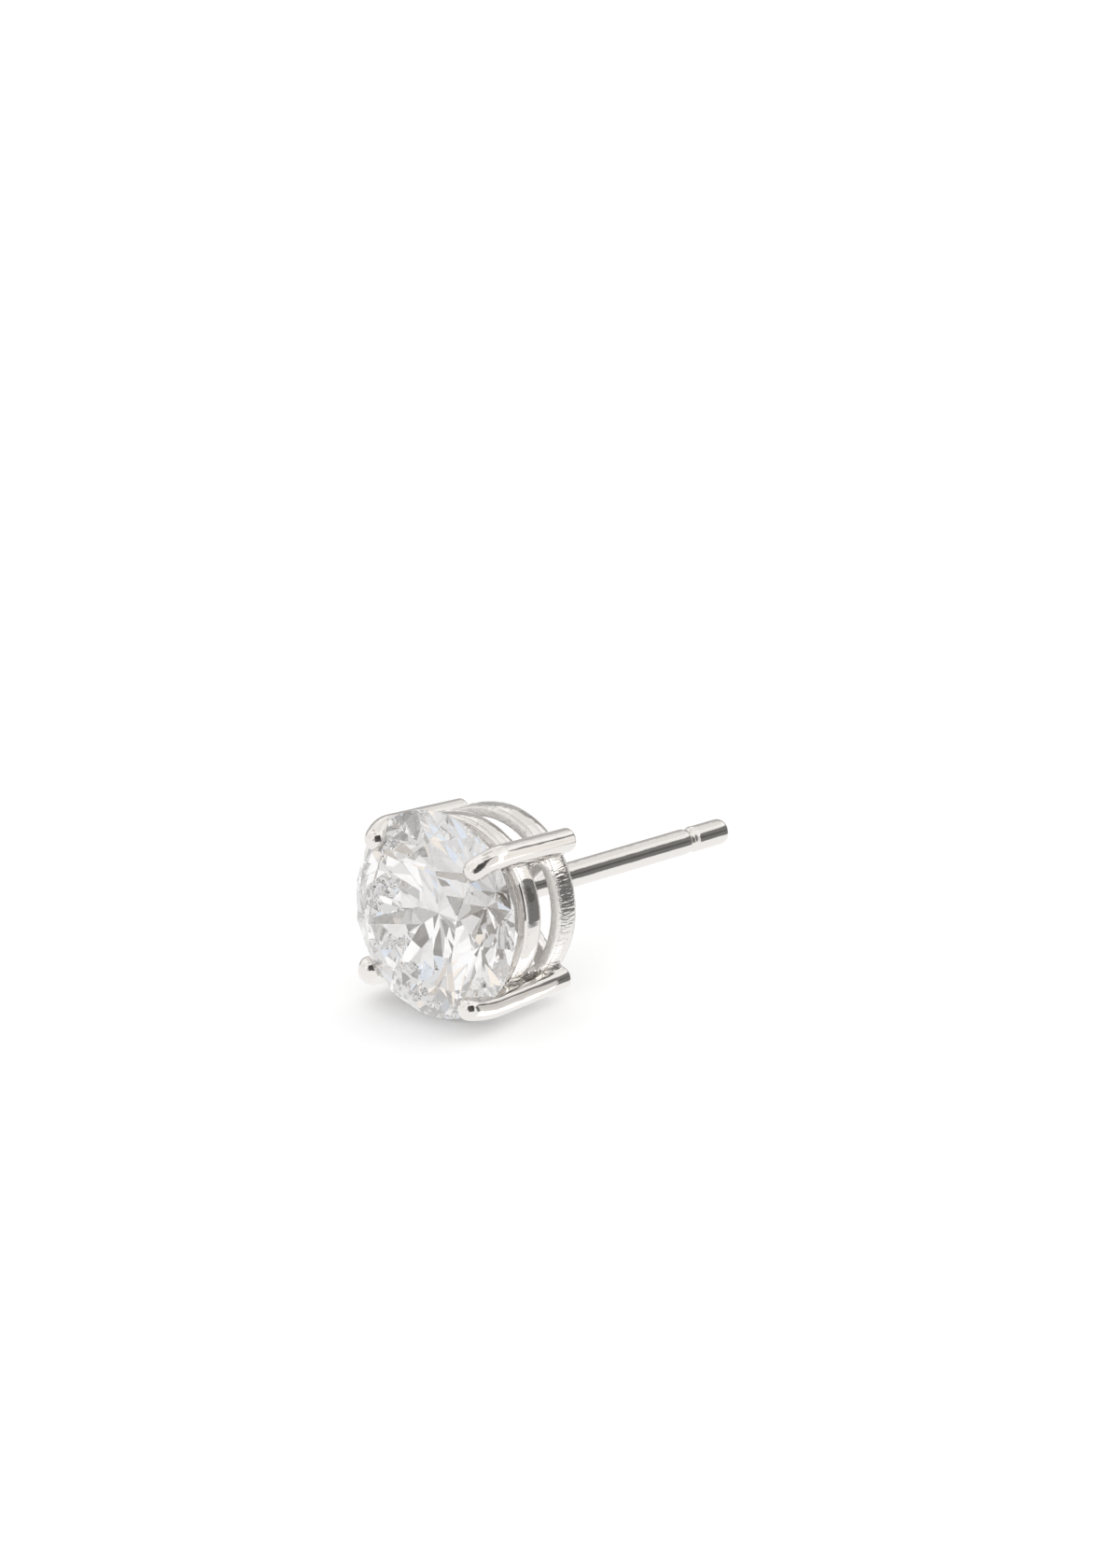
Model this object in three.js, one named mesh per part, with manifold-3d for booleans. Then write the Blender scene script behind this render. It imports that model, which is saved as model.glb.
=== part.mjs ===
// A stud earring lying on its side, as it rests on a table: a round brilliant-cut
// stone held by four claws in a basket with two gallery rails, and a straight ear post.
//
// Millimetres, +Z up. The stone faces -Y and looks up a little, the post points to +Y,
// and the origin is on the table under the middle of the earring.
// The stud is modelled round its own Y axis, with y = 0 at the middle of the girdle,
// and is then tipped back so that the girdle and the lower rail touch the table.

import * as THREE from "three";
import { mergeVertices } from "three/addons/utils/BufferGeometryUtils.js";
import Module from "manifold-3d";

const wasm = await Module();
wasm.setup();

// Stone, a round brilliant of about one carat
const stoneDiameter = 6.5;
const tableDiameter = 3.75; // corner to corner
const crownHeight = 0.96; // from the girdle's upper edge to the table
const pavilionDepth = 2.78; // from the girdle's lower edge to the culet
const girdleHill = 0.15; // girdle thickness at the main facets
const girdleValley = 0.07; // girdle thickness half way between them
const starShare = 0.52; // star facets reach this share of the way from table to girdle
const lowerHalfShare = 0.78; // lower girdle facets reach this share of the way to the culet
const girdleSteps = 12; // straight steps of the girdle in each eighth of a turn
const stoneTurn = 29; // degrees that the stone is turned in its setting

// Gallery rails, one wall of revolution pierced by four windows
const railInset = 0.35; // rails' outer edge inside the girdle's radius
const railThickness = 0.32;
const railCrown = 0.07; // height of the rails' rounded outer face
const upperRailDrop = 0.78; // from the girdle's lower edge to the upper rail
const upperRailWidth = 0.76;
const lowerRailWidth = 0.88;
const websRecess = 0.04; // wall between the rails lies this far inside their edges
const windowEndAngle = 9.5; // degrees from a claw's middle to its window's end
const windowCornerRadius = 0.26;
const railSegments = 72;

// Claws, each a round wire outside the rails that bends over the girdle
const clawWire = 0.76; // wire diameter
const clawSides = 14;
const bendSteps = 8;
const domeSteps = 4;
const footEdge = 0.06; // chamfer round the foot's cut end
const footStandOff = 0.2; // wire's middle outside the rails' edge, at the foot
const girdleStandOff = 0.07; // wire's middle outside the girdle
const bendStart = 0.32; // height under the girdle's middle where the bend starts
const clawReach = 0.42; // bead's middle inside the girdle's radius
const clawRise = 0.48; // bead's middle above the girdle's middle
const clawWebWidth = 0.5; // flat web under the wire that carries the girdle
const clawWebDepth = 0.75; // from the wire's middle inwards
const seatGap = 0.05; // air between stone and metal
const footProud = 0.06; // claws' feet stand proud of the base
// The claws were bent by hand, so no two are alike. turn is in degrees from the top.
// foot, reach and rise are shares of footStandOff, clawReach and clawRise, and lean is
// the share of the wire's diameter by which the claw stands further out at the girdle.
const claws = [
  { turn: 45, foot: 1.0, lean: -0.05, reach: 1.2, rise: 0.95 },
  { turn: 135, foot: 1.1, lean: 0.03, reach: 0.05, rise: 1.75 },
  { turn: 225, foot: 1.1, lean: 0.3, reach: 0.65, rise: 1.1 },
  { turn: 315, foot: 0.7, lean: -0.2, reach: 0.85, rise: 1.1 },
];

// Base, a cross of two bars with a round pad that carries the post
const culetClearance = 0.16;
const baseThickness = 0.44;
const barWidth = 0.62;
const padDiameter = 1.5;

// Ear post
const postDiameter = 0.82;
const postLength = 10;
const postTipRadius = 0.25;
const grooveFromTip = 1.7;
const grooveWidth = 0.5;
const grooveDepth = 0.09;

// What follows from them
const stoneRadius = stoneDiameter / 2;
const culetY = girdleHill / 2 + pavilionDepth;
const baseFrontY = culetY + culetClearance;
const baseRearY = baseFrontY + baseThickness;
const footY = baseRearY + footProud;
const upperRailY = girdleHill / 2 + upperRailDrop;
const lowerRailRearY = baseRearY - baseThickness / 2;
const lowerRailY = lowerRailRearY - lowerRailWidth;
const railEdgeRadius = stoneRadius - railInset;
const railInnerRadius = railEdgeRadius - railThickness;

const solidOf = (geometry) => {
  const bare = geometry.clone();
  bare.deleteAttribute("normal");
  bare.deleteAttribute("uv");
  const merged = mergeVertices(bare);
  return new wasm.Manifold(
    new wasm.Mesh({
      numProp: 3,
      vertProperties: merged.attributes.position.array,
      triVerts: new Uint32Array(merged.index.array),
    }),
  );
};

const geometryOf = (solid) => {
  const mesh = solid.getMesh();
  const geometry = new THREE.BufferGeometry();
  geometry.setAttribute("position", new THREE.BufferAttribute(mesh.vertProperties, 3));
  geometry.setIndex(new THREE.BufferAttribute(mesh.triVerts, 1));
  geometry.computeVertexNormals();
  return geometry;
};

const joined = (solids) => solids.reduce((whole, piece) => whole.add(piece));

const radians = THREE.MathUtils.degToRad;

// The cut stone. Heights run along y, with the table towards -y. scale enlarges it
// for the seat that is cut in the metal.
function brilliant(scale) {
  const eighth = Math.PI / 4;
  const tableRadius = tableDiameter / 2;
  const hill = girdleHill / 2;
  const valley = girdleValley / 2;
  const tableY = -hill - crownHeight;
  const edgeMiddle = tableRadius * Math.cos(eighth / 2);
  const starRadius = edgeMiddle + starShare * (stoneRadius - edgeMiddle);
  const crownSlope = crownHeight / (stoneRadius - tableRadius);
  const starY = tableY + (starRadius * Math.cos(eighth / 2) - tableRadius) * crownSlope;
  const lowerRadius = (1 - lowerHalfShare) * stoneRadius;
  const lowerY = culetY - (lowerRadius * Math.cos(eighth / 2) * pavilionDepth) / stoneRadius;

  const point = (radius, angle, y) =>
    new THREE.Vector3(Math.sin(angle) * radius, y, Math.cos(angle) * radius);

  // Height on the girdle's wall of the plane through three corners of a facet.
  const onFacet = (a, b, c, angle) => {
    const plane = new THREE.Plane().setFromCoplanarPoints(a, b, c);
    const wall = point(stoneRadius, angle, 0);
    const flat = plane.normal.x * wall.x + plane.normal.z * wall.z + plane.constant;
    return -flat / plane.normal.y;
  };

  const corners = [];
  const triangles = [];
  const add = (...fan) => {
    const first = corners.length / 3;
    fan.forEach((p) => corners.push(p.x * scale, p.y * scale, p.z * scale));
    for (let i = 1; i + 1 < fan.length; i += 1) triangles.push(first, first + i, first + i + 1);
  };

  const tablePoint = (k) => point(tableRadius, k * eighth, tableY);
  const starPoint = (k) => point(starRadius, (k + 0.5) * eighth, starY);
  const lowerPoint = (k) => point(lowerRadius, (k + 0.5) * eighth, lowerY);
  const culet = point(0, 0, culetY);
  const half = girdleSteps / 2;

  // One half of an eighth: from the main facet's corner to the valley, on either side.
  const girdlePoint = (k, step, side) => {
    const angle = k * eighth + (step * eighth) / girdleSteps;
    const onFirstHalf = step <= half;
    const main = onFirstHalf ? k : k + 1;
    const inner = side < 0 ? starPoint(k) : lowerPoint(k);
    const hillCorner = point(stoneRadius, main * eighth, side * hill);
    const valleyCorner = point(stoneRadius, (k + 0.5) * eighth, side * valley);
    if (step === half) return valleyCorner;
    if (step === 0 || step === girdleSteps) return hillCorner;
    return point(stoneRadius, angle, onFacet(inner, hillCorner, valleyCorner, angle));
  };

  const table = Array.from({ length: 8 }, (_, k) => tablePoint(k));
  add(...table.slice().reverse());
  for (let k = 0; k < 8; k += 1) {
    const top = Array.from({ length: girdleSteps + 1 }, (_, i) => girdlePoint(k, i, -1));
    const bottom = Array.from({ length: girdleSteps + 1 }, (_, i) => girdlePoint(k, i, 1));
    // Crown: a star, half of each bezel facet on either side, and two upper girdle facets.
    add(tablePoint(k), tablePoint(k + 1), starPoint(k));
    add(tablePoint(k), starPoint(k), top[0]);
    add(tablePoint(k + 1), top[girdleSteps], starPoint(k));
    add(starPoint(k), ...top.slice(0, half + 1).reverse());
    add(starPoint(k), ...top.slice(half).reverse());
    // Girdle
    for (let i = 0; i < girdleSteps; i += 1) add(top[i], top[i + 1], bottom[i + 1], bottom[i]);
    // Pavilion: halves of two main facets and two lower girdle facets.
    add(culet, bottom[0], lowerPoint(k));
    add(culet, lowerPoint(k), bottom[girdleSteps]);
    add(lowerPoint(k), ...bottom.slice(0, half + 1));
    add(lowerPoint(k), ...bottom.slice(half));
  }
  const geometry = new THREE.BufferGeometry();
  geometry.setAttribute("position", new THREE.Float32BufferAttribute(corners, 3));
  geometry.setIndex(triangles);
  geometry.rotateY(radians(stoneTurn));
  return solidOf(geometry);
}

// A rail's rounded outer face as points from its front edge to its rear edge.
function crownedFace(frontY, width) {
  const chord = width / 2;
  const bow = (chord * chord + railCrown * railCrown) / (2 * railCrown);
  const points = [];
  const steps = 4;
  for (let i = 0; i <= steps; i += 1) {
    const along = (i / steps) * width - chord;
    const rise = Math.sqrt(bow * bow - along * along) - (bow - railCrown);
    points.push(new THREE.Vector2(railEdgeRadius + rise, frontY + chord + along));
  }
  return points;
}

// Both rails: one turned wall, pierced between the rails by a window on each side.
function galleries() {
  const webRadius = railEdgeRadius - websRecess;
  const profile = [
    new THREE.Vector2(railInnerRadius, upperRailY),
    ...crownedFace(upperRailY, upperRailWidth),
    new THREE.Vector2(webRadius, upperRailY + upperRailWidth),
    new THREE.Vector2(webRadius, lowerRailY),
    ...crownedFace(lowerRailY, lowerRailWidth),
    new THREE.Vector2(railInnerRadius, lowerRailRearY),
    new THREE.Vector2(railInnerRadius, upperRailY),
  ];
  const halfStep = Math.PI / railSegments;
  const wall = solidOf(new THREE.LatheGeometry(profile, railSegments, halfStep));

  const windowHalf = railEdgeRadius * Math.sin(Math.PI / 4 - radians(windowEndAngle));
  const front = upperRailY + upperRailWidth;
  const corner = Math.min(windowCornerRadius, (lowerRailY - front) * 0.45);
  const outline = new THREE.Shape();
  outline.moveTo(-windowHalf + corner, front);
  outline.lineTo(windowHalf - corner, front);
  outline.absarc(windowHalf - corner, front + corner, corner, -Math.PI / 2, 0);
  outline.lineTo(windowHalf, lowerRailY - corner);
  outline.absarc(windowHalf - corner, lowerRailY - corner, corner, 0, Math.PI / 2);
  outline.lineTo(-windowHalf + corner, lowerRailY);
  outline.absarc(-windowHalf + corner, lowerRailY - corner, corner, Math.PI / 2, Math.PI);
  outline.lineTo(-windowHalf, front + corner);
  outline.absarc(-windowHalf + corner, front + corner, corner, Math.PI, 1.5 * Math.PI);
  const cutter = new THREE.ExtrudeGeometry(outline, {
    depth: stoneRadius,
    bevelEnabled: false,
    curveSegments: 5,
  });
  cutter.translate(0, 0, railInnerRadius / 2);
  const windows = [0, 1, 2, 3].map((side) =>
    solidOf(cutter.clone().rotateY((side * Math.PI) / 2)),
  );
  return wall.subtract(joined(windows));
}

// A round wire swept through stations along its middle, each with a centre, a direction
// and a radius, closed by a flat end at the first and a pole at the last.
function sweptWire(stations, pole) {
  const corners = [];
  const triangles = [];
  stations.forEach(({ centre, direction, radius }) => {
    for (let side = 0; side < clawSides; side += 1) {
      const angle = (side / clawSides) * 2 * Math.PI;
      const inPlane = radius * Math.cos(angle);
      corners.push(
        centre.x + direction.y * inPlane,
        centre.y - direction.x * inPlane,
        radius * Math.sin(angle),
      );
    }
  });
  corners.push(pole.x, pole.y, 0);
  const last = stations.length - 1;
  const poleIndex = stations.length * clawSides;
  for (let side = 0; side < clawSides; side += 1) {
    const next = (side + 1) % clawSides;
    if (side > 0 && next > 0) triangles.push(0, side, next);
    for (let ring = 0; ring < last; ring += 1) {
      const near = ring * clawSides;
      const far = near + clawSides;
      triangles.push(near + side, far + side, far + next);
      triangles.push(near + side, far + next, near + next);
    }
    triangles.push(last * clawSides + side, poleIndex, last * clawSides + next);
  }
  const geometry = new THREE.BufferGeometry();
  geometry.setAttribute("position", new THREE.Float32BufferAttribute(corners, 3));
  geometry.setIndex(triangles);
  return geometry;
}

// One claw, made in the plane of x (outwards) and y, then turned to its place.
function claw({ turn, foot: footShare, lean, reach, rise }) {
  const wireRadius = clawWire / 2;
  const girdlePlace = stoneRadius + girdleStandOff;
  const foot = new THREE.Vector2(railEdgeRadius + footStandOff * footShare, footY);
  const shoulder = new THREE.Vector2(girdlePlace + lean * clawWire, bendStart);
  const bead = new THREE.Vector2(stoneRadius - clawReach * reach, -clawRise * rise);
  const onward = shoulder.clone().sub(foot).normalize();
  const bendCorner = shoulder
    .clone()
    .addScaledVector(onward, (bendStart + clawRise * rise) / 2);
  const bend = new THREE.QuadraticBezierCurve(shoulder, bendCorner, bead);

  const stations = [
    { centre: foot, direction: onward, radius: wireRadius - footEdge },
    {
      centre: foot.clone().addScaledVector(onward, footEdge),
      direction: onward,
      radius: wireRadius,
    },
  ];
  for (let i = 0; i <= bendSteps; i += 1) {
    const share = i / bendSteps;
    stations.push({
      centre: bend.getPoint(share),
      direction: bend.getTangent(share),
      radius: wireRadius,
    });
  }
  const forward = bend.getTangent(1);
  for (let i = 1; i < domeSteps; i += 1) {
    const angle = (i / domeSteps) * (Math.PI / 2);
    stations.push({
      centre: bead.clone().addScaledVector(forward, wireRadius * Math.sin(angle)),
      direction: forward,
      radius: wireRadius * Math.cos(angle),
    });
  }
  const wire = sweptWire(stations, bead.clone().addScaledVector(forward, wireRadius));

  const web = new THREE.Shape();
  web.moveTo(foot.x, baseRearY);
  web.lineTo(shoulder.x, shoulder.y);
  web.lineTo(girdlePlace, 0);
  web.lineTo(girdlePlace - clawWebDepth, 0);
  web.lineTo(railInnerRadius, upperRailY);
  web.lineTo(railInnerRadius, baseRearY);
  const plate = new THREE.ExtrudeGeometry(web, { depth: clawWebWidth, bevelEnabled: false });
  plate.translate(0, 0, -clawWebWidth / 2);
  return solidOf(wire).add(solidOf(plate)).rotate([0, turn - 90, 0]);
}

// Two crossed bars, the pad in their middle, and the post with its friction groove.
function baseAndPost() {
  const bars = [45, 135].map((turn) => {
    const bar = new THREE.BoxGeometry(
      2 * (railEdgeRadius + footStandOff),
      baseThickness,
      barWidth,
    );
    bar.translate(0, baseFrontY + baseThickness / 2, 0);
    return solidOf(bar.rotateY(radians(turn)));
  });
  const pad = new THREE.CylinderGeometry(padDiameter / 2, padDiameter / 2, baseThickness, 32);
  pad.translate(0, baseFrontY + baseThickness / 2, 0);

  const radius = postDiameter / 2;
  const endY = baseRearY + postLength;
  const tipArc = [0, 30, 60, 90].map((angle) => {
    const across = radius - postTipRadius + postTipRadius * Math.cos(radians(angle));
    const along = endY - postTipRadius + postTipRadius * Math.sin(radians(angle));
    return new THREE.Vector2(across, along);
  });
  const grooveY = endY - grooveFromTip;
  const grooveArc = [0, 1, 2, 3, 4].map((i) => {
    const share = i / 4;
    const depth = grooveDepth * Math.sin(Math.PI * share);
    return new THREE.Vector2(radius - depth, grooveY + (share - 0.5) * grooveWidth);
  });
  const profile = [
    new THREE.Vector2(0, baseFrontY + baseThickness / 2),
    new THREE.Vector2(radius, baseFrontY + baseThickness / 2),
    ...grooveArc,
    ...tipArc,
    new THREE.Vector2(0, endY),
  ];
  const post = new THREE.LatheGeometry(profile, 24);
  return joined([...bars, solidOf(pad), solidOf(post)]);
}

const whiteGold = new THREE.MeshStandardMaterial({
  color: 0xdcd8d2,
  metalness: 1,
  roughness: 0.14,
});
const clearStone = new THREE.MeshStandardMaterial({
  color: 0xf3f5f7,
  metalness: 0,
  roughness: 0.02,
});

const seatCopy = brilliant((stoneRadius + seatGap) / stoneRadius);
const basketSolid = joined([galleries(), ...claws.map(claw)])
  .subtract(seatCopy)
  .add(baseAndPost());

const basket = new THREE.Mesh(geometryOf(basketSolid), whiteGold);
basket.name = "basket_and_post";
const stone = new THREE.Mesh(geometryOf(brilliant(1)), clearStone);
stone.name = "brilliant_stone";

// Tipped back until the girdle's rear edge and the lower rail's crown touch the table.
const stud = new THREE.Group();
stud.add(basket, stone);
const crownY = lowerRailY + lowerRailWidth / 2;
const tip = Math.atan2(stoneRadius - railEdgeRadius - railCrown, crownY);
stud.rotation.x = -tip;
stud.updateMatrixWorld(true);
const box = new THREE.Box3().setFromObject(stud, true);
const middle = box.getCenter(new THREE.Vector3());
stud.position.set(-middle.x, -middle.y, -box.min.z);

const earring = new THREE.Group();
earring.add(stud);

export default earring;
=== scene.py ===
"""A solitaire stud earring lying on a pale table, under a jeweller's white light tent.

Every piece is worked out in the stud's own frame, in millimetres: the post runs along +y,
the stone's table faces -y, and y = 0 is the middle of the girdle. laid() then puts it on
the table, in metres.
"""

import math

import bmesh
import bpy
import numpy as np
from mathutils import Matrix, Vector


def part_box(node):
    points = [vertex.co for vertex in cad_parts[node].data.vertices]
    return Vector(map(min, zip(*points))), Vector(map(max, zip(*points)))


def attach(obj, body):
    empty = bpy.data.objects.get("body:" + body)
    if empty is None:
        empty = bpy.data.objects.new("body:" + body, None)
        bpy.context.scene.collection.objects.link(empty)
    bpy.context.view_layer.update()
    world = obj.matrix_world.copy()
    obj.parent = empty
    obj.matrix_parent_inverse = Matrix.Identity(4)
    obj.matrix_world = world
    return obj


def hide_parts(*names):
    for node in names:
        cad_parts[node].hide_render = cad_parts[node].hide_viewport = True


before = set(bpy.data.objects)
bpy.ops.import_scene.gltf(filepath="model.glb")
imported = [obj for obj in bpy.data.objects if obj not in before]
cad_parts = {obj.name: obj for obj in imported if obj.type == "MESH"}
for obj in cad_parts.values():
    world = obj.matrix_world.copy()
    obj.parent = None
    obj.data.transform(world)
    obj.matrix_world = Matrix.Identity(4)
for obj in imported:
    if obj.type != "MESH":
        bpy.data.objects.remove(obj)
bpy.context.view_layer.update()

# How the stud lies: a loose stud tips back until its girdle and its lower gallery rail
# touch the table together, with the stone looking up a little and the post in the air.
girdle_radius = 3.25
girdle_hill = 0.15
pavilion_depth = 2.78
rail_inset = 0.35
rail_bow = 0.07
culet_clearance = 0.16
base_thickness = 0.44
lower_rail_width = 0.88
culet_y = girdle_hill / 2 + pavilion_depth
base_front = culet_y + culet_clearance
base_rear = base_front + base_thickness
lower_rail_rear = base_rear - base_thickness / 2
lower_rail_front = lower_rail_rear - lower_rail_width
rail_radius = girdle_radius - rail_inset
pitch = math.atan2(rail_inset - rail_bow, lower_rail_front + lower_rail_width / 2)
upright_to_lying = np.array(
    [
        [1, 0, 0],
        [0, math.cos(pitch), math.sin(pitch)],
        [0, -math.sin(pitch), math.cos(pitch)],
    ]
)
stone_low, stone_high = (np.array(corner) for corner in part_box("brilliant_stone"))
girdle_place = (stone_low + stone_high) / 2
girdle_place[1] = stone_high[1] - culet_y * math.cos(pitch) / 1000


def laid(points):
    """Points of the stud's own frame in mm, turned by the pitch about x and moved to the
    girdle's place on the table, in metres."""
    return np.asarray(points) @ upright_to_lying.T / 1000 + girdle_place


def shell(name, points, faces):
    """A mesh object of those points and faces, with every face pointing outwards."""
    mesh = bpy.data.meshes.new(name)
    mesh.from_pydata(np.asarray(points).tolist(), [], faces)
    skin = bmesh.new()
    skin.from_mesh(mesh)
    bmesh.ops.recalc_face_normals(skin, faces=skin.faces)
    skin.to_mesh(mesh)
    skin.free()
    piece = bpy.data.objects.new(name, mesh)
    bpy.context.scene.collection.objects.link(piece)
    return piece


# The stone: a near-colourless round brilliant of about one carat, cut and polished flat
# by flat: a table, 8 stars, 8 kites and 16 upper halves, a faceted girdle, then 16 lower
# halves and 8 mains that meet in the culet. It sits loose in its seat under the claws.
table_radius = 1.875
crown_height = 0.96
girdle_valley = 0.07
star_share = 0.52
lower_half_share = 0.78
girdle_steps = 12
stone_turn = math.radians(29)
eighth = math.pi / 4


def ring(radius, angle, y):
    """Points (radius sin angle, y, radius cos angle), with the angle counted from the top."""
    radius, angle, y = np.broadcast_arrays(radius, angle, y)
    return np.stack([radius * np.sin(angle), y, radius * np.cos(angle)], axis=-1)


def girdle_edge(inner_radius, inner_y, side):
    """Heights of the girdle's edge over one eighth of a turn: where the plane through the
    half facet's inner corner and the girdle's hill and valley meets the stone's round
    wall, for the first half, and its mirror image for the second."""
    corners = np.concatenate(
        [
            ring(inner_radius, eighth / 2, inner_y)[None],
            ring(girdle_radius, 0.0, side * girdle_hill / 2)[None],
            ring(girdle_radius, eighth / 2, side * girdle_valley / 2)[None],
        ]
    )
    plane = np.linalg.solve(
        np.column_stack([corners[:, 0], corners[:, 2], np.ones(3)]), corners[:, 1]
    )
    angle = np.linspace(0, eighth / 2, girdle_steps // 2 + 1)
    half = (
        plane[0] * girdle_radius * np.sin(angle)
        + plane[1] * girdle_radius * np.cos(angle)
        + plane[2]
    )
    return np.concatenate([half, half[-2:0:-1]])


def brilliant(scale):
    """Points and faces of the cut stone. Its corners lie on six rings round the y axis.
    Star and lower corners lie in the planes of the kites and the pavilion mains, which
    slope from the table's corners and the culet to the girdle's hills."""
    main = np.arange(8) * eighth
    between = main + eighth / 2
    edge_middle = table_radius * math.cos(eighth / 2)
    star_radius = edge_middle + star_share * (girdle_radius - edge_middle)
    crown_slope = crown_height / (girdle_radius - table_radius)
    table_y = -girdle_hill / 2 - crown_height
    star_y = table_y + (star_radius * math.cos(eighth / 2) - table_radius) * crown_slope
    lower_radius = (1 - lower_half_share) * girdle_radius
    fall = pavilion_depth / girdle_radius
    lower_y = culet_y - lower_radius * math.cos(eighth / 2) * fall
    round_angle = np.arange(8 * girdle_steps) * eighth / girdle_steps
    upper_edge = np.tile(girdle_edge(star_radius, star_y, -1), 8)
    lower_edge = np.tile(girdle_edge(lower_radius, lower_y, 1), 8)
    points = np.concatenate(
        [
            ring(table_radius, main, table_y),
            ring(star_radius, between, star_y),
            ring(girdle_radius, round_angle, upper_edge),
            ring(girdle_radius, round_angle, lower_edge),
            ring(lower_radius, between, lower_y),
            ring(0.0, 0.0, culet_y)[None],
        ]
    )
    turn = np.array(
        [
            [math.cos(stone_turn), 0, math.sin(stone_turn)],
            [0, 1, 0],
            [-math.sin(stone_turn), 0, math.cos(stone_turn)],
        ]
    )
    points = points @ turn.T * scale

    around = 8 * girdle_steps
    table, star, upper = 0, 8, 16
    lower_ring = upper + around
    lower, culet = lower_ring + around, lower_ring + around + 8
    half = girdle_steps // 2
    faces = [tuple(range(8))]
    for k in range(8):
        after, before = (k + 1) % 8, (k - 1) % 8
        steps = [(k * girdle_steps + i) % around for i in range(girdle_steps + 1)]
        faces += [
            (table + k, table + after, star + k),
            (table + k, star + before, upper + steps[0], star + k),
            (culet, lower + before, lower_ring + steps[0], lower + k),
        ]
        for span in (steps[: half + 1], steps[half:]):
            faces.append((star + k, *(upper + i for i in span)))
            faces.append((lower + k, *(lower_ring + i for i in span)))
        faces += [
            (upper + i, upper + j, lower_ring + j, lower_ring + i)
            for i, j in zip(steps, steps[1:])
        ]
    return points, faces


stone_points, stone_faces = brilliant(1.0)
stone = shell("brilliant_cut_stone", laid(stone_points), stone_faces)

crystal_tint = (0.985, 0.99, 1.0, 1.0)
crystal_ior = 2.417
crystal = bpy.data.materials.new("polished_diamond")
crystal.use_nodes = True
crystal_shader = crystal.node_tree.nodes["Principled BSDF"]
crystal_shader.inputs["Base Color"].default_value = crystal_tint
crystal_shader.inputs["Roughness"].default_value = 0.0
crystal_shader.inputs["IOR"].default_value = crystal_ior
crystal_shader.inputs["Transmission Weight"].default_value = 1.0
stone.data.materials.append(crystal)

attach(stone, "root")
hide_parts("brilliant_stone")

# The gallery rails: two rings of white gold inside the claws, cast as one wall with a
# round-cornered window between them on each side. Their outer faces are slightly bowed.
rail_thickness = 0.32
upper_rail_front = girdle_hill / 2 + 0.78
upper_rail_width = 0.76
wall_recess = 0.04
window_end_angle = math.radians(9.5)
window_corner = 0.26
outline_points = 48
rail_inner = rail_radius - rail_thickness


def turned(profile, steps):
    """An outline of (radius, y) points carried once round the y axis, as a grid of outline
    point by angle. One that starts and ends on the axis gets a pole at each end, and any
    other one closes on itself."""
    on_axis = bool(profile[0, 0] == 0)
    rims = profile[1:-1] if on_axis else profile
    angle = np.arange(steps) * 2 * math.pi / steps
    points = ring(rims[:, 0, None], angle[None], rims[:, 1, None]).reshape(-1, 3)
    i, j = np.meshgrid(np.arange(len(rims) - on_axis), np.arange(steps), indexing="ij")
    i2, j2 = (i + 1) % len(rims), (j + 1) % steps
    quads = np.stack([i * steps + j, i2 * steps + j, i2 * steps + j2, i * steps + j2], -1)
    faces = quads.reshape(-1, 4).tolist()
    if on_axis:
        pole = len(points)
        points = np.concatenate([points, [[0, profile[0, 1], 0], [0, profile[-1, 1], 0]]])
        for k in range(steps):
            after = (k + 1) % steps
            faces.append([pole, after, k])
            faces.append([pole + 1, pole - steps + k, pole - steps + after])
    return points, faces


def bowed_face(front, width, points=13):
    """A rail's outer face from its front edge to its rear edge: an arc of a circle through
    both edges that stands rail_bow proud between them."""
    half = width / 2
    bow_radius = (half**2 + rail_bow**2) / (2 * rail_bow)
    along = np.linspace(-half, half, points)
    rise = np.sqrt(bow_radius**2 - along**2) - (bow_radius - rail_bow)
    return np.column_stack([rail_radius + rise, front + half + along])


upper_rail_rear = upper_rail_front + upper_rail_width
wall_outline = np.concatenate(
    [
        [[rail_inner, upper_rail_front]],
        bowed_face(upper_rail_front, upper_rail_width),
        [[rail_radius - wall_recess, upper_rail_rear]],
        [[rail_radius - wall_recess, lower_rail_front]],
        bowed_face(lower_rail_front, lower_rail_width),
        [[rail_inner, lower_rail_rear]],
    ]
)
galleries = shell("galleries", *turned(wall_outline, 192))


def prism_faces(count):
    """The faces of a prism whose two ends have that many points each, one after the other:
    its ends, and one four-sided wall for each step of the outline."""
    i = np.arange(count)
    after = (i + 1) % count
    walls = np.column_stack([i, after, after + count, i + count])
    return [i.tolist(), (i + count).tolist(), *walls.tolist()]


def window_cutter(side):
    """A prism that cuts one window: a rectangle in x and y with quarter circles for its
    corners, carried outwards through the wall and turned by quarter turns."""
    half_length = rail_radius * math.sin(math.pi / 4 - window_end_angle)
    middle_y = (upper_rail_rear + lower_rail_front) / 2
    half_height = (lower_rail_front - upper_rail_rear) / 2
    angle = np.linspace(0, 2 * math.pi, outline_points, endpoint=False)
    angle += math.pi / outline_points
    corner_x = np.sign(np.cos(angle)) * (half_length - window_corner)
    corner_y = np.sign(np.sin(angle)) * (half_height - window_corner)
    x = corner_x + window_corner * np.cos(angle)
    y = middle_y + corner_y + window_corner * np.sin(angle)
    inner = np.column_stack([x, y, np.full(outline_points, rail_inner / 2)])
    outer = np.column_stack([x, y, np.full(outline_points, girdle_radius)])
    turn = side * math.pi / 2
    points = np.concatenate([inner, outer])
    points = np.column_stack(
        [
            points[:, 0] * math.cos(turn) + points[:, 2] * math.sin(turn),
            points[:, 1],
            points[:, 2] * math.cos(turn) - points[:, 0] * math.sin(turn),
        ]
    )
    return points, prism_faces(outline_points)


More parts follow.
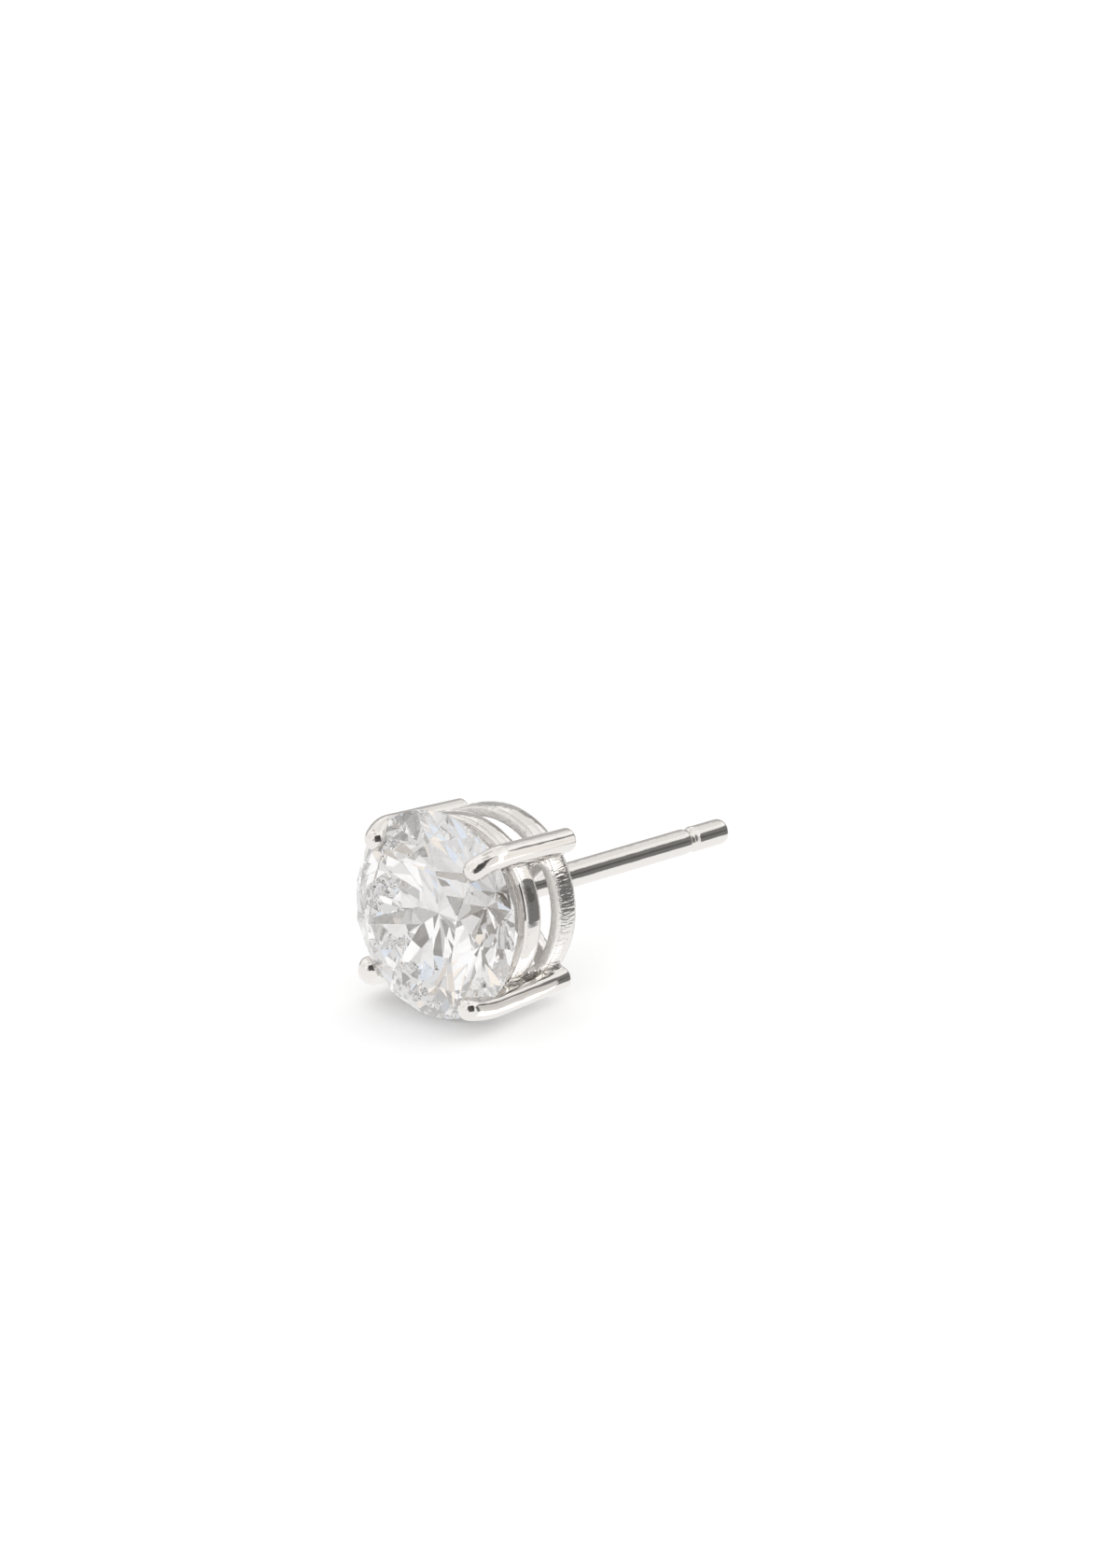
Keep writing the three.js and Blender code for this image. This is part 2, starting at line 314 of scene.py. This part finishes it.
def joined(name, parts):
    """One mesh object that holds several sets of points and faces side by side."""
    points = np.concatenate([part[0] for part in parts])
    starts = np.cumsum([0] + [len(part[0]) for part in parts])
    faces = [
        [start + i for i in face] for start, part in zip(starts, parts) for face in part[1]
    ]
    return shell(name, points, faces)


def finished(piece):
    """The piece with its modifiers worked into its mesh."""
    done = bpy.data.meshes.new_from_object(
        piece.evaluated_get(bpy.context.evaluated_depsgraph_get())
    )
    piece.modifiers.clear()
    piece.data = done
    return piece


def cut(piece, cutter, operation="DIFFERENCE"):
    """The piece with the cutter taken away from it, or added to it. The cutter is used up."""
    tool = piece.modifiers.new("cut", "BOOLEAN")
    tool.operation = operation
    tool.solver = "MANIFOLD"
    tool.object = cutter
    finished(piece)
    bpy.data.objects.remove(cutter)
    return piece


cut(galleries, joined("windows", [window_cutter(side) for side in range(4)]))

# The claws: four round wires soldered outside the rails, each with a flat web under it,
# bent over the girdle by hand and burnished to round tips, so that no two are alike.
claw_wire = 0.76
foot_edge = 0.06
foot_stand_off = 0.2
girdle_stand_off = 0.07
bend_start = 0.32
claw_reach = 0.42
claw_rise = 0.48
claw_web_width = 0.5
claw_web_depth = 0.75
foot_proud = 0.06
# turn in degrees from the top; foot, reach and rise as shares of the stand-off, the reach
# and the rise above; lean as a share of the wire's diameter
claws = [
    {"turn": 45, "foot": 1.0, "lean": -0.05, "reach": 1.2, "rise": 0.95},
    {"turn": 135, "foot": 1.1, "lean": 0.03, "reach": 0.05, "rise": 1.75},
    {"turn": 225, "foot": 1.1, "lean": 0.3, "reach": 0.65, "rise": 1.1},
    {"turn": 315, "foot": 0.7, "lean": -0.2, "reach": 0.85, "rise": 1.1},
]


def swept(centres, directions, radii, sides=40):
    """A round wire through stations in the x y plane: at each, a circle round the centre,
    square to the direction. The ends are closed by one point each."""
    angle = np.arange(sides) * 2 * math.pi / sides
    across = np.column_stack([directions[:, 1], -directions[:, 0]])
    in_plane = radii[:, None] * np.cos(angle)
    points = np.stack(
        [
            centres[:, 0, None] + across[:, 0, None] * in_plane,
            centres[:, 1, None] + across[:, 1, None] * in_plane,
            radii[:, None] * np.sin(angle),
        ],
        axis=-1,
    ).reshape(-1, 3)
    i, j = np.meshgrid(np.arange(len(radii) - 1), np.arange(sides), indexing="ij")
    j2 = (j + 1) % sides
    quads = np.stack([i * sides + j, (i + 1) * sides + j, (i + 1) * sides + j2, i * sides + j2], -1)
    last = (len(radii) - 1) * sides
    end = np.array([*(centres[-1] + directions[-1] * radii[-1] * 0.02), 0.0])
    start = np.array([*centres[0], 0.0])
    points = np.concatenate([points, end[None], start[None]])
    count = len(points)
    j = np.arange(sides)
    fans = np.concatenate(
        [
            np.column_stack([last + j, np.full(sides, count - 2), last + (j + 1) % sides]),
            np.column_stack([j, (j + 1) % sides, np.full(sides, count - 1)]),
        ]
    )
    return points, quads.reshape(-1, 4).tolist() + fans.tolist()


def claw(turn, foot, lean, reach, rise):
    """The wire and the web of one claw. The wire's middle runs straight from the foot to
    the shoulder, follows a quadratic curve over the girdle, and ends in half a ball."""
    wire = claw_wire / 2
    foot_point = np.array([rail_radius + foot_stand_off * foot, base_rear + foot_proud])
    shoulder = np.array([girdle_radius + girdle_stand_off + lean * claw_wire, bend_start])
    tip = np.array([girdle_radius - claw_reach * reach, -claw_rise * rise])
    onward = (shoulder - foot_point) / np.linalg.norm(shoulder - foot_point)
    bend_corner = shoulder + onward * (bend_start + claw_rise * rise) / 2
    t = np.linspace(0, 1, 24)[:, None]
    bend = (1 - t) ** 2 * shoulder + 2 * t * (1 - t) * bend_corner + t**2 * tip
    heading = (1 - t) * (bend_corner - shoulder) + t * (tip - bend_corner)
    heading /= np.linalg.norm(heading, axis=1)[:, None]
    stem = foot_point + onward * np.array([[0.0], [foot_edge], [foot_edge + 0.3]])
    ball = np.linspace(0, math.pi / 2, 14)[1:-1]
    centres = np.concatenate([stem, bend, tip + heading[-1] * wire * np.sin(ball)[:, None]])
    directions = np.concatenate(
        [np.tile(onward, (3, 1)), heading, np.tile(heading[-1], (len(ball), 1))]
    )
    radii = np.concatenate(
        [[wire - foot_edge], np.full(2 + len(bend), wire), wire * np.cos(ball)]
    )
    outline = np.array(
        [
            [foot_point[0], base_rear],
            shoulder,
            [girdle_radius + girdle_stand_off, 0],
            [girdle_radius + girdle_stand_off - claw_web_depth, 0],
            [rail_inner, upper_rail_front],
            [rail_inner, base_rear],
        ]
    )
    count = len(outline)
    web = np.concatenate(
        [
            np.column_stack([outline, np.full(count, side * claw_web_width / 2)])
            for side in (-1, 1)
        ]
    )
    angle = math.radians(turn)
    placed = []
    for points, faces in (swept(centres, directions, radii), (web, prism_faces(count))):
        x, y, z = points.T
        placed.append(
            (
                np.column_stack(
                    [
                        x * math.sin(angle) - z * math.cos(angle),
                        y,
                        x * math.cos(angle) + z * math.sin(angle),
                    ]
                ),
                faces,
            )
        )
    return placed


claw_parts = [part for row in claws for part in claw(**row)]

# The base: two bars crossed behind the culet, soldered to the claws' feet, with a small
# round pad in the middle that takes the post.
bar_width = 0.62
bar_end_share = 0.8
pad_radius = 0.75


def bar(turn):
    """A bar through the middle: a rounded rectangle, the curve |x/a|^8 + |y/b|^8 = 1,
    carried along a straight line and closed by two flat ends."""
    angle = np.linspace(0, 2 * math.pi, outline_points, endpoint=False)
    wide = bar_width / 2 * np.sign(np.cos(angle)) * np.abs(np.cos(angle)) ** 0.25
    thick = base_thickness / 2 * np.sign(np.sin(angle)) * np.abs(np.sin(angle)) ** 0.25
    reach = rail_radius + foot_stand_off * bar_end_share
    ends = [
        np.column_stack(
            [np.full(outline_points, x), base_front + base_thickness / 2 + thick, wide]
        )
        for x in (-reach, reach)
    ]
    points = np.concatenate(ends)
    a = math.radians(turn)
    points = np.column_stack(
        [
            points[:, 0] * math.sin(a) - points[:, 2] * math.cos(a),
            points[:, 1],
            points[:, 0] * math.cos(a) + points[:, 2] * math.sin(a),
        ]
    )
    return points, prism_faces(outline_points)


pad_outline = np.array(
    [
        [0, base_front],
        [pad_radius, base_front],
        [pad_radius, base_rear],
        [0, base_rear],
    ]
)
base_parts = [bar(45), bar(135), turned(pad_outline, 96)]

# The post: a straight drawn wire soldered to the pad, with a groove turned in it for the
# clutch and a rounded end.
post_radius = 0.41
post_length = 10.0
tip_radius = 0.25
groove_from_tip = 1.7
groove_width = 0.5
groove_depth = 0.09
solder_fillet = 0.16
post_end = base_rear + post_length


def post_outline():
    """The post's outline from the pad to the tip, as radius and y: a quarter circle of
    solder, the straight wire, a groove that is one sine wave deep, and a rounded tip."""
    quarter = np.linspace(0, math.pi / 2, 9)
    solder = np.column_stack(
        [
            post_radius + solder_fillet * (1 - np.sin(quarter)),
            base_rear + solder_fillet * (1 - np.cos(quarter)),
        ]
    )
    groove_middle = post_end - groove_from_tip
    straight = [
        [[post_radius, y] for y in np.linspace(start, end, count)[1:-1]]
        for start, end, count in (
            (base_rear + solder_fillet, groove_middle - groove_width / 2, 50),
            (groove_middle + groove_width / 2, post_end - tip_radius, 8),
        )
    ]
    wave = np.linspace(0, 1, 25)
    groove = np.column_stack(
        [
            post_radius - groove_depth * np.sin(math.pi * wave) ** 2,
            groove_middle + (wave - 0.5) * groove_width,
        ]
    )
    tip = np.column_stack(
        [
            post_radius - tip_radius + tip_radius * np.cos(quarter),
            post_end - tip_radius + tip_radius * np.sin(quarter),
        ]
    )
    root = [[0, base_front + 0.1], [post_radius + solder_fillet, base_front + 0.1]]
    parts = [root, solder, straight[0], groove, straight[1], tip, [[0, post_end]]]
    return np.concatenate(parts)


# The soldered and polished basket: galleries, claws and base fused into one body whose
# inner corners are filled a little, as solder and polishing leave them. The seat is then
# cut for the stone, and the post is added.
skin_step = 0.045
seat_gap = 0.05
polish_passes = 7
basket = joined("claw_basket_and_post", [*claw_parts, *base_parts])
gallery_mesh = bmesh.new()
gallery_mesh.from_mesh(galleries.data)
gallery_mesh.from_mesh(basket.data)
gallery_mesh.to_mesh(basket.data)
gallery_mesh.free()
bpy.data.objects.remove(galleries)
fuse = basket.modifiers.new("fuse", "REMESH")
fuse.mode = "VOXEL"
fuse.voxel_size = skin_step
polish = basket.modifiers.new("polish", "SMOOTH")
polish.factor = 0.5
polish.iterations = polish_passes
finished(basket)
cut(basket, shell("seat", *brilliant(1 + seat_gap / girdle_radius)))
cut(basket, shell("post", *turned(post_outline(), 64)), "UNION")


def vertex_values(mesh, source, name):
    """One vector for each vertex, read from the mesh's own arrays."""
    values = np.empty(len(mesh.vertices) * 3)
    getattr(mesh, source).foreach_get(name, values)
    return values.reshape(-1, 3)


def smooth_step(values, low, high):
    """3t^2 - 2t^3 of the share t by which the values lie between low and high."""
    share = np.clip((values - low) / (high - low), 0, 1)
    return share * share * (3 - 2 * share)


def neighbour_mean(values):
    """The mean of the values over each vertex's neighbours."""
    total, count = np.zeros_like(values), np.zeros(len(values))
    for here, there in (ends.T, ends.T[::-1]):
        np.add.at(total, here, values[there])
        np.add.at(count, here, 1)
    return (total.T / count).T


# How the metal is finished: the claws, the post and the rails' outsides are burnished.
# The rails' insides, and the lower one's front, stay sandy as they were cast, the lower
# rail keeps ripples across its face, and painted shade darkens the hollows of the joints.
rails_begin = (0.6, 0.8)
cast_front_begins = (1.2, 1.5)
facing_front = (0.35, 0.75)
facing_inwards = (0.3, 0.7)
facing_outwards = (0.75, 0.95)
ripple_edge = 0.1
beyond_the_rails = (3.0, 3.05)
towards_the_sides = (0.6, 0.85)
hollow_of_a_joint = (0.0016, 0.0036)
stroke_angle_size = 3.2
stroke_stretch = 0.1
post_stroke_share = 0.3
upright = vertex_values(basket.data, "vertices", "co")
facing = vertex_values(basket.data, "vertex_normals", "vector")
from_axis = np.maximum(np.hypot(upright[:, 0], upright[:, 2]), 1e-6)
outward = (upright[:, 0] * facing[:, 0] + upright[:, 2] * facing[:, 2]) / from_axis
in_rails = smooth_step(upright[:, 1], *rails_begin) * smooth_step(
    -from_axis, -rail_radius - rail_bow, -rail_radius
)
raw = in_rails * np.maximum(
    smooth_step(-facing[:, 1], *facing_front)
    * smooth_step(upright[:, 1], *cast_front_begins),
    smooth_step(-outward, *facing_inwards),
)
rippled = (
    smooth_step(outward, *facing_outwards)
    * smooth_step(
        upright[:, 1], lower_rail_front - ripple_edge, lower_rail_front + ripple_edge / 2
    )
    * (1 - smooth_step(from_axis, *beyond_the_rails))
    * smooth_step(-upright[:, 1], -lower_rail_rear - ripple_edge, -lower_rail_rear)
    * smooth_step(np.abs(upright[:, 0]) / from_axis, *towards_the_sides)
)
ends = np.empty(len(basket.data.edges) * 2, int)
basket.data.edges.foreach_get("vertices", ends)
ends = ends.reshape(-1, 2)
# Painted shade in the joints: the deeper a vertex lies in a hollow, the darker its colour is made.
hollow = ((neighbour_mean(upright) - upright) * facing).sum(1)
for _ in range(2):
    hollow = neighbour_mean(hollow)
joint_shade = smooth_step(hollow, *hollow_of_a_joint)
along_ring = np.abs(np.arctan2(upright[:, 0], upright[:, 2])) * stroke_angle_size
brushing = np.where(
    (in_rails > 0.5)[:, None],
    np.stack([from_axis, upright[:, 1], along_ring * stroke_stretch], 1),
    upright * [1, stroke_stretch, 1],
)
brushing[upright[:, 1] > base_rear + 0.01] *= post_stroke_share
for name, values in (("raw_casting", raw), ("rippled", rippled), ("joint_shade", joint_shade)):
    layer = basket.data.attributes.new(name, "FLOAT", "POINT")
    layer.data.foreach_set("value", values.astype(np.float32))
layer = basket.data.attributes.new("brushing", "FLOAT_VECTOR", "POINT")
layer.data.foreach_set("vector", brushing.astype(np.float32).ravel())
basket.data.vertices.foreach_set("co", laid(upright).ravel())
basket.data.shade_smooth()
basket.data.set_sharp_from_angle(angle=math.radians(35))
basket.data.update()

burnished_tint = (0.89, 0.862, 0.832, 1.0)
cast_tint = (0.95, 0.92, 0.885, 1.0)
# The dark grey painted into the joints' hollows as shade.
joint_shade_tint = (0.36, 0.33, 0.30, 1.0)
burnished_roughness = (0.06, 0.13)
cast_roughness = 0.55
cast_metallic = 0.35
sand_size = (1.1e-4, 1.1e-4, 1.1e-4)
ripple_size = (8e-5, 5e-4, 8e-5)
cloud_size = (3e-4, 3e-4, 3e-4)
stroke_depth = 1.6e-5
ripple_depth = 3.5e-5
sand_depth = 5e-5
white_gold = bpy.data.materials.new("polished_white_gold")
white_gold.use_nodes = True


def wired(tree, kind, plugs=(), **settings):
    """A new node with those settings. plugs gives an input's name or number a value, or
    the output socket that feeds it."""
    node = tree.nodes.new(kind)
    for name, value in settings.items():
        setattr(node, name, value)
    for plug, value in dict(plugs).items():
        if isinstance(value, bpy.types.NodeSocket):
            tree.links.new(value, node.inputs[plug])
        else:
            node.inputs[plug].default_value = value
    return node


def grain(tree, place, size, detail):
    """Noise in the stud's own frame with lumps of that size in metres along x, y and z."""
    turned_back = wired(
        tree,
        "ShaderNodeMapping",
        {"Vector": place, "Rotation": (-pitch, 0, 0), "Scale": size},
        vector_type="TEXTURE",
    )
    return wired(
        tree,
        "ShaderNodeTexNoise",
        {"Vector": turned_back.outputs["Vector"], "Scale": 1.0, "Detail": detail},
    ).outputs["Fac"]


gold_tree = white_gold.node_tree
gold_shader = gold_tree.nodes["Principled BSDF"]
place = wired(gold_tree, "ShaderNodeTexCoord").outputs["Object"]
raw_share = wired(
    gold_tree, "ShaderNodeAttribute", attribute_name="raw_casting"
).outputs["Fac"]
ripple_share = wired(gold_tree, "ShaderNodeAttribute", attribute_name="rippled").outputs["Fac"]
sand = grain(gold_tree, place, sand_size, 4.0)
waves = grain(gold_tree, place, ripple_size, 2.0)
brush_place = wired(gold_tree, "ShaderNodeAttribute", attribute_name="brushing").outputs["Vector"]
hand_polish = wired(
    gold_tree, "ShaderNodeTexNoise", {"Vector": brush_place, "Scale": 4.5, "Detail": 2.0}
).outputs["Fac"]
joint_shade_share = wired(gold_tree, "ShaderNodeAttribute", attribute_name="joint_shade").outputs["Fac"]
clouding = grain(gold_tree, place, cloud_size, 4.0)
cloudy_roughness = wired(
    gold_tree,
    "ShaderNodeMapRange",
    {
        "Value": clouding,
        "From Min": 0.35,
        "From Max": 0.7,
        "To Min": burnished_roughness[0],
        "To Max": burnished_roughness[1],
    },
).outputs["Result"]
roughness = wired(
    gold_tree,
    "ShaderNodeMix",
    {"Factor": raw_share, "A": cloudy_roughness, "B": cast_roughness},
).outputs["Result"]
tint = wired(
    gold_tree,
    "ShaderNodeMix",
    {"Factor": raw_share, 6: burnished_tint, 7: cast_tint},
    data_type="RGBA",
).outputs[2]
# Painted shade: the colour turns towards the dark grey in the hollows of the joints.
colour_with_joint_shade = wired(
    gold_tree,
    "ShaderNodeMix",
    {"Factor": joint_shade_share, 6: tint, 7: joint_shade_tint},
    data_type="RGBA",
).outputs[2]
sand_height = wired(
    gold_tree, "ShaderNodeMath", {0: sand, 1: raw_share}, operation="MULTIPLY"
).outputs["Value"]
wave_height = wired(
    gold_tree, "ShaderNodeMath", {0: waves, 1: ripple_share}, operation="MULTIPLY"
).outputs["Value"]
polish_bump = wired(
    gold_tree, "ShaderNodeBump", {"Height": hand_polish, "Distance": stroke_depth, "Strength": 1.0}
).outputs["Normal"]
wave_bump = wired(
    gold_tree,
    "ShaderNodeBump",
    {"Height": wave_height, "Distance": ripple_depth, "Strength": 1.0, "Normal": polish_bump},
).outputs["Normal"]
sand_bump = wired(
    gold_tree,
    "ShaderNodeBump",
    {"Height": sand_height, "Distance": sand_depth, "Strength": 1.0, "Normal": wave_bump},
).outputs["Normal"]
metallic = wired(
    gold_tree, "ShaderNodeMapRange", {"Value": raw_share, "To Min": 1.0, "To Max": cast_metallic}
).outputs["Result"]
gold_tree.links.new(metallic, gold_shader.inputs["Metallic"])
gold_tree.links.new(colour_with_joint_shade, gold_shader.inputs["Base Color"])
gold_tree.links.new(roughness, gold_shader.inputs["Roughness"])
gold_tree.links.new(sand_bump, gold_shader.inputs["Normal"])
basket.data.materials.clear()
basket.data.materials.append(white_gold)

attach(basket, "root")
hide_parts("basket_and_post")

# The table that the stud lies on: a large matt white board. It also glows a little, which
# is painted light that pales the stud's shadow on it.
table_reach = 2.0
board_white = 0.9
board_painted_glow = 0.16
board = shell(
    "white_board",
    np.array([[-1, -1, 0], [1, -1, 0], [1, 1, 0], [-1, 1, 0]]) * table_reach,
    [(0, 1, 2, 3)],
)
board_finish = bpy.data.materials.new("matt_white_board")
board_finish.use_nodes = True
board_shader = board_finish.node_tree.nodes["Principled BSDF"]
board_shader.inputs["Base Color"].default_value = (board_white, board_white, board_white, 1.0)
board_shader.inputs["Roughness"].default_value = 0.9
# Painted light: the board, which is no lamp, glows so that the shadow under the stud stays pale.
board_shader.inputs["Emission Color"].default_value = (1.0, 1.0, 1.0, 1.0)
board_shader.inputs["Emission Strength"].default_value = board_painted_glow
board.data.materials.append(board_finish)
board.visible_transmission = False
board.visible_glossy = False

# The light: a white tent of many panels, some brighter than others, with a dark opening
# for the camera. Its panels are what the facets and the polish show.
tent = bpy.data.worlds.new("light_tent")
bpy.context.scene.world = tent
tent.use_nodes = True
tent_tree = tent.node_tree
tent_tree.nodes.clear()
direction = wired(tent_tree, "ShaderNodeTexCoord").outputs["Generated"]


def toward(azimuth, elevation):
    """The unit vector at that azimuth, counted from -y towards +x, and elevation."""
    a, e = math.radians(azimuth), math.radians(elevation)
    return np.array([math.sin(a) * math.cos(e), -math.cos(a) * math.cos(e), math.sin(e)])


def opening(azimuth, elevation, half_width, half_height, edge=0.04):
    """1 inside a rectangle of the tent's wall that is square to its direction, else 0: the
    direction's run along the rectangle's two axes, over its run towards the middle."""
    middle = toward(azimuth, elevation)
    side = np.cross(middle, [0, 0, 1]) / np.linalg.norm(np.cross(middle, [0, 0, 1]))
    over = np.cross(side, middle)
    ahead, *offsets = (
        wired(
            tent_tree,
            "ShaderNodeVectorMath",
            {0: direction, 1: tuple(axis)},
            operation="DOT_PRODUCT",
        ).outputs["Value"]
        for axis in (middle, side, over)
    )
    inside = wired(
        tent_tree, "ShaderNodeMath", {0: ahead, 1: 0.05}, operation="GREATER_THAN"
    ).outputs["Value"]
    for offset, half in zip(offsets, (half_width, half_height)):
        share = wired(
            tent_tree, "ShaderNodeMath", {0: offset, 1: ahead}, operation="DIVIDE"
        ).outputs["Value"]
        away = wired(
            tent_tree, "ShaderNodeMath", {0: share}, operation="ABSOLUTE"
        ).outputs["Value"]
        reach = math.tan(math.radians(half))
        within = wired(
            tent_tree,
            "ShaderNodeMapRange",
            {
                "Value": away,
                "From Min": reach - edge,
                "From Max": reach + edge,
                "To Min": 1,
                "To Max": 0,
            },
        ).outputs["Result"]
        inside = wired(
            tent_tree, "ShaderNodeMath", {0: inside, 1: within}, operation="MULTIPLY"
        ).outputs["Value"]
    return inside


def panels(size, seed, stops):
    """Flat patches round the tent, each a random one of the stops' greys or tints."""
    moved = wired(
        tent_tree,
        "ShaderNodeVectorMath",
        {0: direction, 1: (seed, seed * 1.7, seed * 0.6)},
        operation="ADD",
    ).outputs["Vector"]
    cells = wired(tent_tree, "ShaderNodeTexVoronoi", {"Vector": moved, "Scale": size})
    share = wired(
        tent_tree, "ShaderNodeSeparateColor", {"Color": cells.outputs["Color"]}
    ).outputs["Red"]
    ramp = wired(tent_tree, "ShaderNodeValToRGB", {"Fac": share})
    ramp.color_ramp.interpolation = "CONSTANT"
    for position, colour in stops:
        stop = ramp.color_ramp.elements.new(position) if position else ramp.color_ramp.elements[0]
        stop.color = (*colour, 1.0)
    ramp.color_ramp.elements.remove(ramp.color_ramp.elements[-1])
    return ramp.outputs["Color"]


def dimmed(colour, mask, remains):
    """The colour where the mask is 0, and that share of it where the mask is 1."""
    factor = wired(
        tent_tree,
        "ShaderNodeMapRange",
        {"Value": mask, "To Min": 1.0, "To Max": remains},
    ).outputs["Result"]
    return wired(
        tent_tree, "ShaderNodeVectorMath", {0: colour, "Scale": factor}, operation="SCALE"
    ).outputs["Vector"]


# Two strip lights beside the stud on the right, above and below. The polish of the claws there
# mirrors them, while the rails and the post mirror the dark gap between them. Each row is
# front and rear end, lower and upper edge in mm, and how bright it is.
strip_from_axis = 3.35
strip_colour = (1.0, 0.975, 0.95)
for name, front, rear, low, high, radiance in (
    ("upper_strip_light", -1.2, 5.5, 1.95, 3.3, 0.6),
    ("lower_strip_light", -0.4, 3.75, -3.55, -1.7, 0.42),
):
    strip = bpy.data.lights.new(name, "AREA")
    strip.shape = "RECTANGLE"
    strip.size = (rear - front) / 1000
    strip.size_y = (high - low) / 1000
    strip.energy = 4 * radiance * strip.size * strip.size_y
    strip.color = strip_colour
    strip_light = bpy.data.objects.new(name, strip)
    strip_place = np.identity(4)
    strip_place[:3, :3] = upright_to_lying[:, [1, 2, 0]]
    middle = [strip_from_axis, (front + rear) / 2, (low + high) / 2]
    strip_place[:3, 3] = laid(middle)
    strip_light.matrix_world = strip_place.T.tolist()
    bpy.context.scene.collection.objects.link(strip_light)
    for kind in ("camera", "diffuse", "transmission"):
        setattr(strip_light, f"visible_{kind}", False)

# What the cut stone gathers from the tent through its facets: greys from white to dark,
# with a few blue and warm ones for its fire, and a dimmer side right of the camera.
facet_light = panels(
    2.6,
    0.53,
    [
        (0.0, (0.86, 0.84, 0.82)),
        (0.18, (0.76, 0.745, 0.73)),
        (0.36, (0.66, 0.65, 0.64)),
        (0.52, (0.52, 0.51, 0.50)),
        (0.66, (0.37, 0.36, 0.35)),
        (0.77, (1.06, 1.045, 1.03)),
        (0.89, (0.71, 0.78, 0.88)),
        (0.92, (1.0, 0.90, 0.78)),
        (0.95, (0.17, 0.15, 0.13)),
    ],
)
right_of_the_camera = opening(76, 30, 26, 22)
facet_light = dimmed(facet_light, right_of_the_camera, 0.5)

# What the polish mirrors: paler panels over a white table, and three dark openings, for
# the camera, for the way in at the right rear, and for the back of the room.
table_light = (0.96, 0.96, 0.96, 1.0)
polish_light = panels(
    2.8,
    0.29,
    [
        (0.0, (0.96, 0.95, 0.94)),
        (0.28, (0.92, 0.91, 0.90)),
        (0.52, (0.84, 0.83, 0.82)),
        (0.70, (1.04, 1.04, 1.04)),
        (0.88, (0.58, 0.56, 0.54)),
    ],
)
above_table = wired(
    tent_tree,
    "ShaderNodeMath",
    {
        0: wired(tent_tree, "ShaderNodeSeparateXYZ", {"Vector": direction}).outputs["Z"],
        1: 0.0,
    },
    operation="GREATER_THAN",
).outputs["Value"]
polish_light = wired(
    tent_tree,
    "ShaderNodeMix",
    {"Factor": above_table, 6: table_light, 7: polish_light},
    data_type="RGBA",
).outputs[2]
camera_opening = opening(58, 22, 30, 30)
way_in = opening(138, 4, 32, 24)
back_of_the_room = opening(222, 12, 60, 14)
polish_light = dimmed(polish_light, camera_opening, 0.1)
polish_light = dimmed(polish_light, way_in, 0.2)
polish_light = dimmed(polish_light, back_of_the_room, 0.5)

# The tent's plain white lights the table and the view past it. A refracted ray also
# counts as a mirrored one, so the stone's light is mixed in last.
tent_white = 1.1
ray = wired(tent_tree, "ShaderNodeLightPath")
plain = wired(
    tent_tree, "ShaderNodeBackground", {"Color": (1, 1, 1, 1), "Strength": tent_white}
)
faceted = wired(tent_tree, "ShaderNodeBackground", {"Color": facet_light, "Strength": 1.0})
polished = wired(tent_tree, "ShaderNodeBackground", {"Color": polish_light, "Strength": 1.0})
with_polish = wired(
    tent_tree,
    "ShaderNodeMixShader",
    {0: ray.outputs["Is Glossy Ray"], 1: plain.outputs[0], 2: polished.outputs[0]},
)
with_facets = wired(
    tent_tree,
    "ShaderNodeMixShader",
    {0: ray.outputs["Is Transmission Ray"], 1: with_polish.outputs[0], 2: faceted.outputs[0]},
)
wired(tent_tree, "ShaderNodeOutputWorld", {"Surface": with_facets.outputs[0]})

# The camera looks at the girdle from the front right and a little above. Its direction is
# given in the stud's own frame, where it was fitted to the girdle, rails and claws.
view_azimuth = math.radians(40.77)
view_elevation = math.radians(16.447)
view_roll = math.radians(2.38)
view_distance = 300.0
frame_middle_right = 3.852
frame_middle_up = 3.987
lens = 226.1
back = np.array(
    [
        math.cos(view_elevation) * math.sin(view_azimuth),
        -math.cos(view_elevation) * math.cos(view_azimuth),
        math.sin(view_elevation),
    ]
)
level_right = np.array([math.cos(view_azimuth), math.sin(view_azimuth), 0.0])
level_up = np.cross(back, level_right)
right = level_right * math.cos(view_roll) + level_up * math.sin(view_roll)
up = level_up * math.cos(view_roll) - level_right * math.sin(view_roll)
camera = bpy.data.objects.new("camera", bpy.data.cameras.new("camera"))
bpy.context.scene.collection.objects.link(camera)
bpy.context.scene.camera = camera
camera.data.lens = lens
camera.data.clip_start = 0.01
eye = (
    np.array([0.0, -girdle_hill / 2, 0.0])
    + back * view_distance
    + right * frame_middle_right
    + up * frame_middle_up
)
axes = np.column_stack([upright_to_lying @ axis for axis in (right, up, back)])
camera_place = np.identity(4)
camera_place[:3, :3] = axes
camera_place[:3, 3] = laid(eye)
camera.matrix_world = camera_place.T.tolist()

# Colours are shown as they are lit, and light may pass the stone's facets many times.
facet_bounces = 64
scene = bpy.context.scene
scene.view_settings.view_transform = "Standard"
scene.view_settings.look = "None"
scene.cycles.max_bounces = facet_bounces
scene.cycles.transmission_bounces = facet_bounces
scene.cycles.glossy_bounces = facet_bounces
